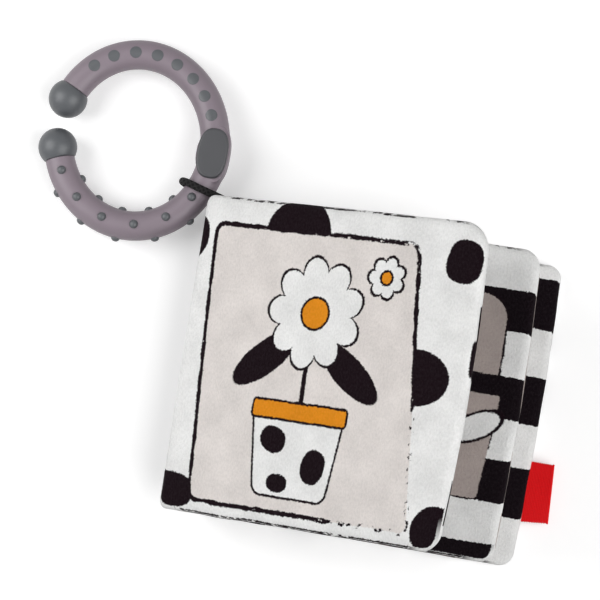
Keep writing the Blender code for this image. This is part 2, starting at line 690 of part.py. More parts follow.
def build():
    """Put the book together from the floor up, then tie the ring to it."""
    reset_scene()
    book = new_collection("cloth_activity_book")
    cutters = new_collection("cutters")

    plush_white = new_material("plush_white", (0.85, 0.85, 0.84), 0.9, 0.4)
    plush_grey = new_material("plush_grey", (0.62, 0.6, 0.58), 0.9, 0.4)
    plush_dark = new_material("plush_dark", (0.03, 0.024, 0.028), 0.9, 0.4)
    wadding = new_material("wadding", (0.9, 0.9, 0.88), 1.0)
    foil = new_material("rustling_foil", (0.75, 0.76, 0.78), 0.35)
    ribbon = new_material("red_ribbon", (0.62, 0.005, 0.01), 0.55)
    elastic = new_material("black_elastic", (0.01, 0.01, 0.011), 0.8)
    mauve = new_material("mauve_plastic", (0.27, 0.235, 0.25), 0.42)
    soft_grey = new_material("soft_grey_plastic", (0.13, 0.135, 0.145), 0.5)

    back_seat = seat_distance(BACK_SEAT_SHARE)
    middle_seat = seat_distance(MIDDLE_SEAT_SHARE)
    front_seat = seat_distance(FRONT_SEAT_SHARE)

    def leaf_middle(seat):
        """From a seam to the middle of the leaf that is sewn to it."""
        return Matrix.Translation((seat - EDGE_RADIUS + LEAF_WIDTH / 2, 0, 0))

    level = back_seam_level()
    back_leaf = new_empty("back_leaf", Matrix.Translation((0, 0, level)), book)
    back_seam = -(LEAF_WIDTH / 2 + back_seat - EDGE_RADIUS)
    lower_lift = QUARTER_TURN + LOWER_BAND_LEAN_ANGLE
    lower_fold = new_empty("lower_fold", fold(lower_lift, back_seam), book, back_leaf)
    middle_lift = MIDDLE_LEAF_LIFT_ANGLE - QUARTER_TURN - LOWER_BAND_LEAN_ANGLE
    upper_lift = QUARTER_TURN + UPPER_BAND_LEAN_ANGLE - MIDDLE_LEAF_LIFT_ANGLE
    front_lift = MIDDLE_LEAF_LIFT_ANGLE + FRONT_COVER_LIFT_ANGLE - QUARTER_TURN - UPPER_BAND_LEAN_ANGLE
    middle_fold = new_empty("middle_fold", fold(middle_lift, SPINE_PITCH), book, lower_fold)
    upper_fold = new_empty("upper_fold", fold(upper_lift), book, middle_fold)
    front_fold = new_empty("front_fold", fold(front_lift, SPINE_PITCH), book, upper_fold)
    middle_leaf = new_empty("middle_leaf", leaf_middle(middle_seat), book, middle_fold)
    front_cover = new_empty("front_cover", leaf_middle(front_seat), book, front_fold)

    make_skin("back_leaf_outer_skin", -1, True, back_leaf, plush_white, book)
    make_wadding("back_leaf_wadding", True, back_leaf, wadding, book)
    make_skin("back_leaf_inner_skin", 1, False, back_leaf, plush_white, book)
    make_tag("red_tag", back_leaf, ribbon, book)

    make_skin("middle_leaf_lower_skin", -1, False, middle_leaf, plush_grey, book)
    make_half_wadding("middle_leaf_lower_wadding", -1, middle_leaf, wadding, book)
    make_foil("rustling_foil", middle_leaf, foil, book)
    make_half_wadding("middle_leaf_upper_wadding", 1, middle_leaf, wadding, book)
    make_skin("middle_leaf_upper_skin", 1, False, middle_leaf, plush_grey, book)

    make_skin("front_cover_inner_skin", -1, False, front_cover, plush_white, book)
    make_wadding("front_cover_wadding", False, front_cover, wadding, book)
    make_skin("front_cover_outer_skin", 1, False, front_cover, plush_white, book)

    lower_turn = LOWER_BAND_LEAN_ANGLE - MIDDLE_LEAF_LIFT_ANGLE * LOWER_BAND_FOLD_SHARE
    upper_turn = (UPPER_BAND_LEAN_ANGLE - MIDDLE_LEAF_LIFT_ANGLE
                  - FRONT_COVER_LIFT_ANGLE * UPPER_BAND_FOLD_SHARE)
    make_band("spine_lower_band", band_inset(back_seat, QUARTER_TURN - lower_turn),
              band_inset(middle_seat, QUARTER_TURN + lower_turn), lower_fold, plush_dark, book)
    make_band("spine_upper_band", band_inset(middle_seat, QUARTER_TURN - upper_turn),
              band_inset(front_seat, QUARTER_TURN + upper_turn), upper_fold, plush_dark, book)

    start = cord_start()
    cord_seat = new_empty("cord_swing", Matrix.Translation(start), book)
    make_cord("elastic_cord", cord_seat, start, elastic, book)

    turn = Matrix.Rotation(math.radians(RING_TURN_ANGLE), 4, 'Z')
    tip = Matrix.Rotation(-ring_tip(), 4, turn.to_3x3() @ ring_tangent(tied_angle()))
    tied = Matrix.Translation(ring_tie_point(start) - start) @ tip @ turn
    ring_flip = new_empty("ring_flip", tied, book, cord_seat)
    ring = new_empty("ring", Matrix.Translation(-ring_point(tied_angle())), book, ring_flip)

    whole_tube = make_ring_body(ring, mauve, book, cutters)
    make_ball("ring_upper_ball", UPPER_END_ANGLE, 1, ring, soft_grey, book)
    make_ball("ring_lower_ball", LOWER_END_ANGLE, -1, ring, soft_grey, book)
    make_dots(whole_tube, ring, soft_grey, book)
    make_nubs(ring, soft_grey, book)
    make_pad("ring_thumb_pad", ring, soft_grey, book)


build()
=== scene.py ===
"""A baby's cloth activity book of three padded plush leaves, fanned open on a pale floor.

An open teether ring of two plastics hangs on an elastic cord at the top of its spine. X runs from
the spine to the fore edge, Y up the page, Z up from the floor; every length is in metres.
"""
import functools
import math

import bmesh
import bpy
import numpy as np
from mathutils import Matrix, Vector


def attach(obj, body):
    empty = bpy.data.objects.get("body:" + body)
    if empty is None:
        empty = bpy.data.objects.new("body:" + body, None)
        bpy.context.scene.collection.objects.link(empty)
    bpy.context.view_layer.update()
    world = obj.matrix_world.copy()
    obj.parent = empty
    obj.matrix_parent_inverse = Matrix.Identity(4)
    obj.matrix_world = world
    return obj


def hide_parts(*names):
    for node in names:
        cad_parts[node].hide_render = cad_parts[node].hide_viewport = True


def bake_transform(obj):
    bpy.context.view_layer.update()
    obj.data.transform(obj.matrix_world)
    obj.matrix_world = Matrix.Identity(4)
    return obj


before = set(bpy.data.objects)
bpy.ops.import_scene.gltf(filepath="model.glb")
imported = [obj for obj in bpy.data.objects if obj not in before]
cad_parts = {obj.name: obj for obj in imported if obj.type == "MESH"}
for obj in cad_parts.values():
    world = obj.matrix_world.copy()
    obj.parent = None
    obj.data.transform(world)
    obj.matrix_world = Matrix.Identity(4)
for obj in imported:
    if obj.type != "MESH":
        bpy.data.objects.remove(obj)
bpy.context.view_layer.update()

scene = bpy.context.scene

# Camera: almost straight above the book and a metre away, turned some ten degrees about its line
# of sight, with a long lens, so that the leaves hardly shrink with depth.
lens = bpy.data.cameras.new("camera")
lens.lens = 153.73
lens.sensor_width = 36
lens.clip_start = 0.05
lens.clip_end = 20
camera = bpy.data.objects.new("camera", lens)
camera.location = (0.02121, -0.06440, 1.05517)
camera.rotation_euler = [math.radians(turn) for turn in (5.6217, 2.1854, 10.1074)]
scene.collection.objects.link(camera)
scene.camera = camera
scene.view_settings.view_transform = 'Standard'


# Studio: a pale paper floor, a soft lamp low on the left, a larger one high on the right, and a
# faint even surround. The camera sees paper and surround as white, with the book's soft shadow.
def node(tree, kind, inputs=None, **settings):
    """A shader node with its settings; each input is a value, or the output that feeds it."""
    new = tree.nodes.new(kind)
    for name, value in settings.items():
        setattr(new, name, value)
    for name, value in (inputs or {}).items():
        if isinstance(value, bpy.types.NodeSocket):
            tree.links.new(value, new.inputs[name])
        else:
            new.inputs[name].default_value = value
    return new


def fed(kind, inputs, **settings):
    """A shader node in the tree that its first linked input comes from."""
    feeds = [value for value in inputs.values() if isinstance(value, bpy.types.NodeSocket)]
    return node(feeds[0].id_data, kind, inputs, **settings)


def link(source, target):
    """Feed one socket with another."""
    source.id_data.links.new(source, target)


def calc(operation, *values, clamp=False):
    """The output of a Math node on these values or outputs."""
    return fed("ShaderNodeMath", dict(enumerate(values)), operation=operation, use_clamp=clamp).outputs[0]


add, minus, times = (functools.partial(calc, name) for name in ('ADD', 'SUBTRACT', 'MULTIPLY'))


def ramp(value, start, end, low=0.0, high=1.0, **settings):
    """The low figure where a value is at start, the high one where it is at end, and no further."""
    return fed("ShaderNodeMapRange", {"Value": value, "From Min": start, "From Max": end,
               "To Min": low, "To Max": high}, **settings).outputs[0]


def object_place(tree):
    """The Object coordinates of the surface point."""
    return node(tree, "ShaderNodeTexCoord").outputs["Object"]


def noise(where, scale, detail, roughness=0.5, output="Fac"):
    """A noise with so many lumps to the metre."""
    return fed("ShaderNodeTexNoise", {"Vector": where, "Scale": scale, "Detail": detail,
               "Roughness": roughness}).outputs[output]


def even_grey(value):
    """A value as a grey."""
    return fed("ShaderNodeCombineColor", {"Red": value, "Green": value, "Blue": value}).outputs[0]


def blank_material(name, **finish):
    """A node material, its tree and its Principled shader; underscores in inputs stand for spaces."""
    material = bpy.data.materials.new(name)
    material.use_nodes = True
    shader = material.node_tree.nodes["Principled BSDF"]
    for label, value in finish.items():
        shader.inputs[label.replace("_", " ")].default_value = value
    return material, material.node_tree, shader


def seen_directly(tree):
    """1 where the camera sees a surface itself, or through gloss or glass."""
    path = node(tree, "ShaderNodeLightPath").outputs
    straight = calc('MAXIMUM', path["Is Camera Ray"], path["Is Glossy Ray"])
    return calc('MAXIMUM', straight, path["Is Transmission Ray"])


# the paper glows more the further it is from the book, so that its far parts are white too
paper, tree, shader = blank_material("floor_paper", Roughness=0.9, Specular_IOR_Level=0.1,
                                     Emission_Color=(1, 1, 1, 1))
place = object_place(tree)
tone = ramp(noise(place, 400.0, 2.0), 0.0, 1.0, 0.78, 0.80)
link(even_grey(tone), shader.inputs["Base Color"])
from_book = fed("ShaderNodeVectorMath", {0: place}, operation='LENGTH').outputs["Value"]
glow = ramp(from_book, 0.3, 1.2, 0.36, 0.95)
link(times(seen_directly(tree), glow), shader.inputs["Emission Strength"])

floor_half, floor_drop = 3, 0.0004
floor_mesh = bpy.data.meshes.new("floor")
floor_mesh.from_pydata([(x * floor_half, y * floor_half, 0) for x, y in ((-1, -1), (1, -1), (1, 1), (-1, 1))],
                       [], [(0, 1, 2, 3)])
floor_mesh.materials.append(paper)
floor = bpy.data.objects.new("floor", floor_mesh)
floor.location.z = -floor_drop
scene.collection.objects.link(floor)

surround = bpy.data.worlds.new("surround")
surround.use_nodes = True
tree = surround.node_tree
sky = tree.nodes["Background"].inputs
sky["Color"].default_value = (1, 1, 1, 1)
sky_light = 0.10
link(ramp(seen_directly(tree), 0.0, 1.0, sky_light, 1.0), sky["Strength"])
scene.world = surround

for name, place, size, power in (("left lamp", (-0.50, 0.06, 0.40), 0.45, 2.7),
                                 ("right lamp", (0.52, -0.13, 0.68), 0.8, 6.9)):
    lamp = bpy.data.lights.new(name, 'AREA')
    lamp.size = size
    lamp.energy = power
    lamp_object = bpy.data.objects.new(name, lamp)
    lamp_object.location = place
    lamp_object.rotation_euler = Vector(place).to_track_quat('Z', 'Y').to_euler()
    scene.collection.objects.link(lamp_object)


# Elastic cord: one round braided elastic, looped over the ring's tube, both its ends caught in the
# back leaf's top corner at the spine. Polyester sleeve over rubber, black.
def grid_faces(rows, columns, ring_rows, ring_columns, start):
    """Quads of a grid whose point (r, c) is vertex start + r * columns + c; rings are closed."""
    r = np.arange(rows - (not ring_rows))[:, None]
    c = np.arange(columns - (not ring_columns))[None, :]
    corners = [start + (r + dr) % rows * columns + (c + dc) % columns
               for dr, dc in ((0, 0), (0, 1), (1, 1), (1, 0))]
    return np.stack(corners, axis=-1).reshape(-1, 4)


def sewn_piece(name, surfaces, material, place=None):
    """One mesh object from grids of points, welded where they meet, its faces turned outwards.

    Each surface is (points, ring_rows, ring_columns) or has a fourth item, the "page" of every
    point: where it lies on the flat cloth or along the cord. place takes the points to the frame.
    """
    verts, faces, pages, count = [], [], [], 0
    for surface in surfaces:
        points, ring_rows, ring_columns = surface[:3]
        rows, columns = points.shape[:2]
        faces.append(grid_faces(rows, columns, ring_rows, ring_columns, count))
        verts.append(points.reshape(-1, 3))
        pages.append((surface[3] if len(surface) > 3 else points).reshape(-1, 3))
        count += rows * columns
    verts = np.concatenate(verts)
    if place is not None:
        place = np.array(place)
        verts = verts @ place[:3, :3].T + place[:3, 3]
    mesh = bpy.data.meshes.new(name)
    mesh.from_pydata(verts.tolist(), [], np.concatenate(faces).tolist())
    page = mesh.attributes.new("page", 'FLOAT_VECTOR', 'POINT')
    page.data.foreach_set("vector", np.concatenate(pages).astype(np.float32).ravel())
    bm = bmesh.new()
    bm.from_mesh(mesh)
    bmesh.ops.remove_doubles(bm, verts=bm.verts, dist=2e-6)
    bmesh.ops.recalc_face_normals(bm, faces=bm.faces)
    bm.to_mesh(mesh)
    bm.free()
    mesh.shade_smooth()
    mesh.materials.append(material)
    piece = bpy.data.objects.new(name, mesh)
    scene.collection.objects.link(piece)
    return piece


def smooth_path(points, steps):
    """A Catmull-Rom curve: between b and c, half of 2b + (c-a)t + (2a-5b+4c-d)t2 + (3b-a-3c+d)t3."""
    p = np.asarray(points, float)
    p = np.concatenate([[2 * p[0] - p[1]], p, [2 * p[-1] - p[-2]]])
    a, b, c, d = (p[i:len(p) - 3 + i, None] for i in range(4))
    t = (np.arange(steps) / steps)[None, :, None]
    curve = 0.5 * (2 * b + (c - a) * t + (2 * a - 5 * b + 4 * c - d) * t ** 2
                   + (3 * b - a - 3 * c + d) * t ** 3)
    return np.concatenate([curve.reshape(-1, 3), p[-2:-1]])


def swept_tube(path, side, radius, around):
    """P(s) + radius (cos a * side + sin a * up), up = tangent x side, and its page (arc, a, 0)."""
    tangent = np.gradient(path, axis=0)
    tangent /= np.linalg.norm(tangent, axis=1, keepdims=True)
    side = side - (side * tangent).sum(axis=1, keepdims=True) * tangent
    side /= np.linalg.norm(side, axis=1, keepdims=True)
    up = np.cross(tangent, side)
    angle = np.linspace(0, 2 * np.pi, around, endpoint=False)[None, :, None]
    points = path[:, None] + radius * (np.cos(angle) * side[:, None] + np.sin(angle) * up[:, None])
    arc = np.concatenate([[0], np.cumsum(np.linalg.norm(np.diff(path, axis=0), axis=1))])
    page = np.stack(np.broadcast_arrays(arc[:, None], angle[..., 0], 0.0), axis=-1)
    return points, page


def page_of(tree):
    """The page of the surface point, where it lies on the flat cloth or along the cord."""
    return node(tree, "ShaderNodeAttribute", attribute_name="page").outputs["Vector"]


def split(place):
    """A place's three lengths, by name."""
    return fed("ShaderNodeSeparateXYZ", {0: place}).outputs


def finish_surface(shader, colour, height, depth, roughness=None):
    """Feed a material's shader with its colour, its bump of so many metres and its roughness."""
    link(colour, shader.inputs["Base Color"])
    bump = fed("ShaderNodeBump", {"Height": height, "Distance": depth, "Strength": 1.0})
    link(bump.outputs[0], shader.inputs["Normal"])
    if roughness is not None:
        link(roughness, shader.inputs["Roughness"])


def mixed(share, first, second):
    """A colour between two, each a colour or an output; the share is an output."""
    ends = [(*end, 1) if isinstance(end, tuple) else end for end in (first, second)]
    return fed("ShaderNodeMix", {0: share, 6: ends[0], 7: ends[1]}, data_type='RGBA').outputs[2]


cord_radius, cord_around = 0.00155, 40
cord_start = np.array((-0.0664, 0.0615, 0.0040))
cord_heading = math.radians(161.8)
along = np.array((math.cos(cord_heading), math.sin(cord_heading), 0))
across = np.array((along[1], -along[0], 0))

# the route's points in millimetres: how far from the seam, how far aside, and how high
wrap_out, wrap_height, wrap_radius = 19.5, 9.8, 7.95
over = [(0, 1.8, 4.0), (2.5, 1.8, 4.4), (5.5, 1.7, 6.4), (8.5, 1.4, 9.6), (11.5, 0.9, 13.2),
        (14.5, 0.4, 16.2)]
wrap = [(wrap_out + wrap_radius * math.cos(a), 0, wrap_height + wrap_radius * math.sin(a))
        for a in np.radians(np.arange(90, -91, -22.5))]
under = [(15, -0.4, 2.0), (11, -0.9, 2.1), (7, -1.4, 2.6), (3.5, -1.8, 3.5), (0, -1.8, 4.0)]
route = np.array(over + wrap + under) * 0.001
route = (cord_start * (1, 1, 0) + route[:, :1] * along + route[:, 1:2] * across
         + route[:, 2:] * (0, 0, 1))
cord_path = smooth_path(route, 10)

# the sleeve: two sets of yarns that wind round it against each other, painted lighter on the raised yarns and
# darker in the grooves between them as painted light and shade
braid_pitch, braid_yarns = 0.0021, 4.0
elastic, tree, shader = blank_material("black_elastic", Roughness=0.8, Specular_IOR_Level=0.2)
page = split(page_of(tree))
slant = times(page["Y"], braid_yarns)
lay = times(page["X"], 2 * math.pi / braid_pitch)
left_hand = calc('SINE', add(lay, slant))
right_hand = calc('SINE', minus(lay, slant))
yarn = calc('MAXIMUM', left_hand, right_hand)
fibre = noise(object_place(tree), 5200.0, 3.0)
braid = add(times(yarn, 0.8), times(fibre, 0.5))
# painted highlight on the raised yarns and painted shade in the grooves; the fibre noise is a random tone of
# the yarn
sleeve = mixed(ramp(braid, 0.1, 1.2), (0.0010, 0.0010, 0.0012), (0.022, 0.021, 0.021))
finish_surface(shader, sleeve, braid, 0.00035)

tube, cord_page = swept_tube(cord_path, across[None].repeat(len(cord_path), 0), cord_radius, cord_around)
caps = [np.stack([tube[end], np.repeat(cord_path[end][None], cord_around, 0)]) for end in (0, -1)]
cord = sewn_piece("elastic_cord_braid", [(tube, False, True, cord_page)]
                  + [(cap, False, True) for cap in caps], elastic)
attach(cord, "cord")
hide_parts("elastic_cord")


# Back leaf, outer skin: the plush square that the book lies on, sewn to the inner skin all round
# and turned right side out over its wadding. White short-pile plush, printed with dark spots.
leaf_half = np.array((0.0669, 0.0630))
spine_corner = 0.0035
roll, rim_height, crown_height = 0.0030, 0.0024, 0.0017
plush_thickness, seam_gap = 0.0011, 0.00015


def smooth_bumps(x, y, size, seed):
    """A sum of eight sines of x and y in scattered directions, about one size long, from -1 to 1."""
    dice = np.random.default_rng(seed)
    total = 0
    for heading, phase, stretch in zip(dice.uniform(0, np.pi, 8), dice.uniform(0, 6.28, 8),
                                       dice.uniform(0.7, 1.5, 8)):
        wave = 2 * np.pi * stretch / size
        total = total + np.sin(wave * (x * np.cos(heading) + y * np.sin(heading)) + phase)
    return total / 8


def leaf_skin(side, corners, fore_corner, bulge, seed, floor=None):
    """One face of a padded leaf, with its seam at Z = 0, as a grid of points and their pages.

    The grid's square rings shrink from the sewn outline to the middle. The outline is a rectangle
    with round corners, and the fore edge's have radii of their own, (top, foot). Each ring lies an
    inset inside it: at first round the rolled edge, where inset = roll (1 - cos t) and height =
    rim height sin t, then over the crown, where the height grows by the crown height times
    (1 - x2) (1 - y2) to the power 0.8. Puckers fade away from the seam, and low waves run all
    over. The corners' own shifts are shared out bilinearly, and the fore edge bulges by a half
    sine.
    """
    columns, crowding, edge_share = 132, 1.35, 0.14
    pucker_reach, pucker_size, pucker_depth = 0.006, 0.014, 0.00075
    wave_size, wave_height, wave_sink = 0.055, 0.00028, 0.00015
    pull_size, pull_depth = 0.030, 0.00035
    u, v = np.meshgrid(np.linspace(-1, 1, columns + 1), np.linspace(-1, 1, columns + 1), indexing="ij")
    reach = np.maximum(np.abs(u), np.abs(v))
    steer = np.where(reach < 1e-9, 1.0, reach)
    rim = np.stack([u / steer, v / steer], axis=-1)
    rim = leaf_half * np.copysign(1 - (1 - np.abs(rim)) ** crowding, rim)
    radius = np.where(rim[..., 0] > 0, np.where(rim[..., 1] > 0, *fore_corner), spine_corner)
    centre = np.copysign(leaf_half - radius[..., None], rim)
    arm = rim - centre
    in_corner = (np.abs(rim) > np.abs(centre)).all(axis=-1)
    arm_length = np.maximum(np.linalg.norm(arm, axis=-1), 1e-9)
    rim = np.where(in_corner[..., None], centre + arm * (radius / arm_length)[..., None], rim)

    inward = 1 - reach
    turn = np.clip(inward / edge_share, 0, 1) * np.pi / 2
    beyond = np.clip((inward - edge_share) / (1 - edge_share), 0, 1)
    inset = roll * (1 - np.cos(turn))
    page_inset = roll * (turn - np.pi / 2) + roll
    share = 1 - inset[..., None] / leaf_half
    page_share = 1 - page_inset[..., None] / leaf_half
    on_roll = turn[..., None] < np.pi / 2
    over_crown = (1 - roll / leaf_half) * (1 - beyond)[..., None]
    flat = rim * np.where(on_roll, share, over_crown)
    page = rim * np.where(on_roll, page_share, over_crown)
    x, y = flat[..., 0], flat[..., 1]

    sx, sy = x / leaf_half[0], y / leaf_half[1]
    crown = np.clip((1 - sx ** 2) * (1 - sy ** 2), 0, 1) ** 0.8
    from_seam = np.where(turn < np.pi / 2, inset, roll + beyond * leaf_half[1])
    near = np.exp(-from_seam / pucker_reach) * np.sin(turn)
    pucker = 0.5 + 0.5 * smooth_bumps(x, y, pucker_size, seed)
    wave = wave_height * smooth_bumps(x, y, wave_size, seed + 1) - wave_sink
    height = (rim_height * np.sin(turn) + crown_height * crown + np.sin(turn) * wave
              - pucker_depth * near * pucker)
    z = side * (seam_gap + height)
    if floor is not None:
        z = np.maximum(z, floor)
    pull = pull_depth * smooth_bumps(rim[..., 0], rim[..., 1], pull_size, seed + 2)
    x = x + np.sign(sx) * pull * np.abs(sx) ** 6
    y = y + np.sign(sy) * pull * np.abs(sy) ** 6
    fore, top = 0.5 + 0.5 * sx, 0.5 + 0.5 * sy
    for (dx, dy), weight in zip(corners, ((1 - fore) * top, fore * top, fore * (1 - top),
                                          (1 - fore) * (1 - top))):
        x = x + dx * weight
        y = y + dy * weight
    x = x + bulge * np.clip(sx, 0, 1) ** 3 * np.cos(np.clip(sy, -1, 1) * np.pi / 2)
    points = np.stack([x, y, z], axis=-1)
    page = np.concatenate([page, np.zeros_like(page[..., :1])], axis=-1)
    return points, page


def plush_piece(name, skin, material, place):
    """A skin as a closed plush sheet: its outside from leaf_skin, thickened inwards."""
    points, page = skin
    piece = sewn_piece(name, [(points, False, False, page)], material, place)
    up = np.array(place)[:3, 2]
    normals = np.empty(len(piece.data.polygons) * 3, dtype=np.float32)
    piece.data.polygons.foreach_get("normal", normals)
    outwards = np.sign(points[points.shape[0] // 2, points.shape[1] // 2, 2])
    if (normals.reshape(-1, 3) @ up).sum() * outwards < 0:
        piece.data.flip_normals()
    plush = piece.modifiers.new("plush", 'SOLIDIFY')
    plush.thickness = plush_thickness
    plush.offset = -1
    plush.use_even_offset = True
    return piece


def leaf_place(x, z, lift):
    """Where a flat piece lies: its own origin at (x, 0, z), its fore edge lifted so many degrees."""
    return Matrix.Translation((x, 0, z)) @ Matrix.Rotation(-math.radians(lift), 4, 'Y')


def new_group(name, inputs, outputs):
    """A node group, its inputs named with their defaults. Gives its tree and its two ends' sockets."""
    group = bpy.data.node_groups.new(name, 'ShaderNodeTree')
    for label, default in inputs.items():
        kind = 'NodeSocketVector' if isinstance(default, tuple) else 'NodeSocketFloat'
        socket = group.interface.new_socket(name=label, in_out='INPUT', socket_type=kind)
        socket.default_value = default
    for label in outputs:
        group.interface.new_socket(name=label, in_out='OUTPUT', socket_type='NodeSocketFloat')
    return group, group.nodes.new("NodeGroupInput").outputs, group.nodes.new("NodeGroupOutput").inputs


def use_group(group, **inputs):
    """A group placed in a material; underscores in the names stand for spaces."""
    inputs = {label.replace("_", " "): value for label, value in inputs.items()}
    return fed("ShaderNodeGroup", inputs, node_tree=group).outputs


def vector(operation, *values):
    """A Vector Math node on these values or outputs."""
    return fed("ShaderNodeVectorMath", dict(enumerate(values)), operation=operation).outputs[0]


# short pile: fine upright streaks of leaning fibres, a soft mottle where hands brushed the pile
pile_group, given, result = new_group("short_pile", {"Page": (0, 0, 0)}, ["Shade", "Height"])
page = given["Page"]
streaks = noise(vector('MULTIPLY', page, (1350, 820, 1350)), 1.0, 4.0, 0.6)
brushed = noise(page, 70.0, 3.0)
tufts = noise(page, 2600.0, 2.0)
shade = add(times(streaks, 0.5), times(brushed, 0.4))
link(ramp(shade, 0.33, 0.57), result["Shade"])
link(add(times(tufts, 0.6), streaks), result["Height"])


def cover(distance):
    """1 inside a printed shape and 0 outside, over the third of a millimetre of its edge."""
    return ramp(distance, 0.00017, -0.00017, interpolation_type='SMOOTHSTEP')


def give_shape(distance, line_width, result):
    """A printed shape's Fill, the inside of its edge, and Line, half a width to either side of it."""
    link(cover(distance), result["Fill"])
    link(cover(minus(calc('ABSOLUTE', distance), times(line_width, 0.5))), result["Line"])


# printed blob: a squarish ellipse, |x/a|^n + |y/b|^n = 1
blob_group, given, result = new_group("printed_blob", {
    "Page": (0, 0, 0), "Centre": (0, 0, 0), "Half Size": (1, 1, 1), "Turn": 0.0, "Squareness": 2.2,
    "Line Width": 0.0007}, ["Fill", "Line"])
power = given["Squareness"]
turned = fed("ShaderNodeVectorRotate", {"Vector": given["Page"], "Center": given["Centre"],
             "Angle": given["Turn"]}, rotation_type='Z_AXIS').outputs[0]
offset = vector('ABSOLUTE', vector('SUBTRACT', turned, given["Centre"]))
scaled = split(vector('DIVIDE', offset, given["Half Size"]))
total = add(calc('POWER', scaled["X"], power), calc('POWER', scaled["Y"], power))
length = calc('POWER', total, calc('DIVIDE', 1.0, power))
half = split(given["Half Size"])
distance = times(minus(length, 1.0), calc('MINIMUM', half["X"], half["Y"]))
give_shape(distance, given["Line Width"], result)

# printed box: a rectangle with round corners whose sides may lean and spread towards the foot
box_group, given, result = new_group("printed_box", {
    "Page": (0, 0, 0), "Centre": (0, 0, 0), "Half Size": (1, 1, 1), "Lean": 0.0, "Spread": 0.0,
    "Corner": 0.004, "Line Width": 0.0007}, ["Fill", "Line", "Distance"])
corner = given["Corner"]
offset = split(vector('SUBTRACT', given["Page"], given["Centre"]))
half = split(given["Half Size"])
leant = add(offset["X"], times(offset["Y"], given["Lean"]))
wide = add(calc('ABSOLUTE', leant), times(offset["Y"], given["Spread"]))
past_x = add(minus(wide, half["X"]), corner)
past_y = add(minus(calc('ABSOLUTE', offset["Y"]), half["Y"]), corner)
outer = calc('SQRT', add(calc('POWER', calc('MAXIMUM', past_x, 0.0), 2.0),
                         calc('POWER', calc('MAXIMUM', past_y, 0.0), 2.0)))
inner = calc('MINIMUM', calc('MAXIMUM', past_x, past_y), 0.0)
distance = minus(add(outer, inner), corner)
give_shape(distance, given["Line Width"], result)
link(distance, result["Distance"])

# printed flower: petals round a middle, radius = size (0.74 + 0.26 |sin(petals a / 2)| to the 0.7)
flower_group, given, result = new_group("printed_flower", {
    "Page": (0, 0, 0), "Centre": (0, 0, 0), "Size": 0.02, "Petals": 8.0, "Line Width": 0.0007},
    ["Fill", "Line"])
offset = split(vector('SUBTRACT', given["Page"], given["Centre"]))
reach = calc('SQRT', add(calc('POWER', offset["X"], 2.0), calc('POWER', offset["Y"], 2.0)))
angle = calc('ARCTAN2', offset["Y"], offset["X"])
lobe = calc('SINE', times(times(angle, given["Petals"]), 0.5))
lobe = calc('POWER', calc('ABSOLUTE', lobe), 0.7)
edge = times(given["Size"], add(0.74, times(lobe, 0.26)))
give_shape(times(minus(reach, edge), 0.8), given["Line Width"], result)

# scattered spots: one round blot in each cell of a Voronoi pattern
scatter_group, given, result = new_group(
    "scattered_spots", {"Page": (0, 0, 0), "Spacing": 0.02, "Radius Share": 0.33}, ["Fill"])
cell = fed("ShaderNodeTexVoronoi", {"Vector": given["Page"], "Randomness": 0.75,
           "Scale": calc('DIVIDE', 1.0, given["Spacing"])}, voronoi_dimensions='2D').outputs["Distance"]
link(cover(times(minus(cell, given["Radius Share"]), given["Spacing"])), result["Fill"])

white, beige, taupe = (0.90, 0.90, 0.89), (0.80, 0.75, 0.72), (0.45, 0.385, 0.36)
ink, black, orange = (0.0055, 0.0010, 0.0030), (0.0035, 0.0010, 0.0025), (0.80, 0.28, 0.012)
# the paler grey that the tallest tufts are mixed toward: painted sheen glints on the pile
painted_sheen_tip = (0.20, 0.17, 0.19)


def plush_material(name):
    """A plush material, its shader, its page, and the page that wanders as ink does in pile."""
    material, tree, shader = blank_material(name, Roughness=0.95, Specular_IOR_Level=0.08,
                                            Sheen_Weight=0.03, Sheen_Roughness=0.45)
    page = wander = page_of(tree)
    for scale, size in ((1700.0, 0.0014), (110.0, 0.0008)):
        drift = vector('SUBTRACT', noise(page, scale, 2.0, output="Color"), (0.5, 0.5, 0.5))
        wander = vector('ADD', wander, vector('MULTIPLY', drift, (size, size, 0)))
    return material, shader, page, wander


def finish_plush(shader, page, colour):
    """Pile over the print: the fibres' shade in its colour, their painted sheen glints and their bump."""
    pile = use_group(pile_group, Page=page)
    shade = even_grey(ramp(pile["Shade"], 0.0, 1.0, 0.82, 1.05))
    shaded = fed("ShaderNodeMix", {0: 1.0, 6: colour, 7: shade}, data_type='RGBA',
                 blend_type='MULTIPLY').outputs[2]
    # the tallest tufts get a little of a paler grey, painted sheen glints where light would catch the fibre
    # ends
    sheen_glint_share = times(ramp(pile["Height"], 0.72, 1.05), 0.05)
    finish_surface(shader, mixed(sheen_glint_share, shaded, painted_sheen_tip), pile["Height"], 0.0004)


def stripes(wander, edges, first, second):
    """Cross stripes of two colours that change at these heights of the page, from the top down."""
    page_top = 0.07
    down = ramp(split(wander)["Y"], page_top, -page_top)
    bands = fed("ShaderNodeValToRGB", {0: down})
    bands.color_ramp.interpolation = 'CONSTANT'
    stops = bands.color_ramp.elements
    stops.remove(stops[1])
    stops[0].color = (*first, 1)
    for number, edge in enumerate(edges):
        stops.new((page_top - edge) / (2 * page_top)).color = (*(first if number % 2 else second), 1)
    return bands.outputs["Color"]


def brush_line(page, distance, width, gaps):
    """A dry brush's stroke along a printed edge: one noise sets its width, another breaks it up."""
    load = add(times(noise(page, 170.0, 3.0), 0.9), 0.05)
    thick = times(width, load)
    stroke = cover(minus(calc('ABSOLUTE', distance), thick))
    wet = times(minus(gaps, noise(page, 420.0, 3.0)), 0.004)
    return times(stroke, cover(wet))


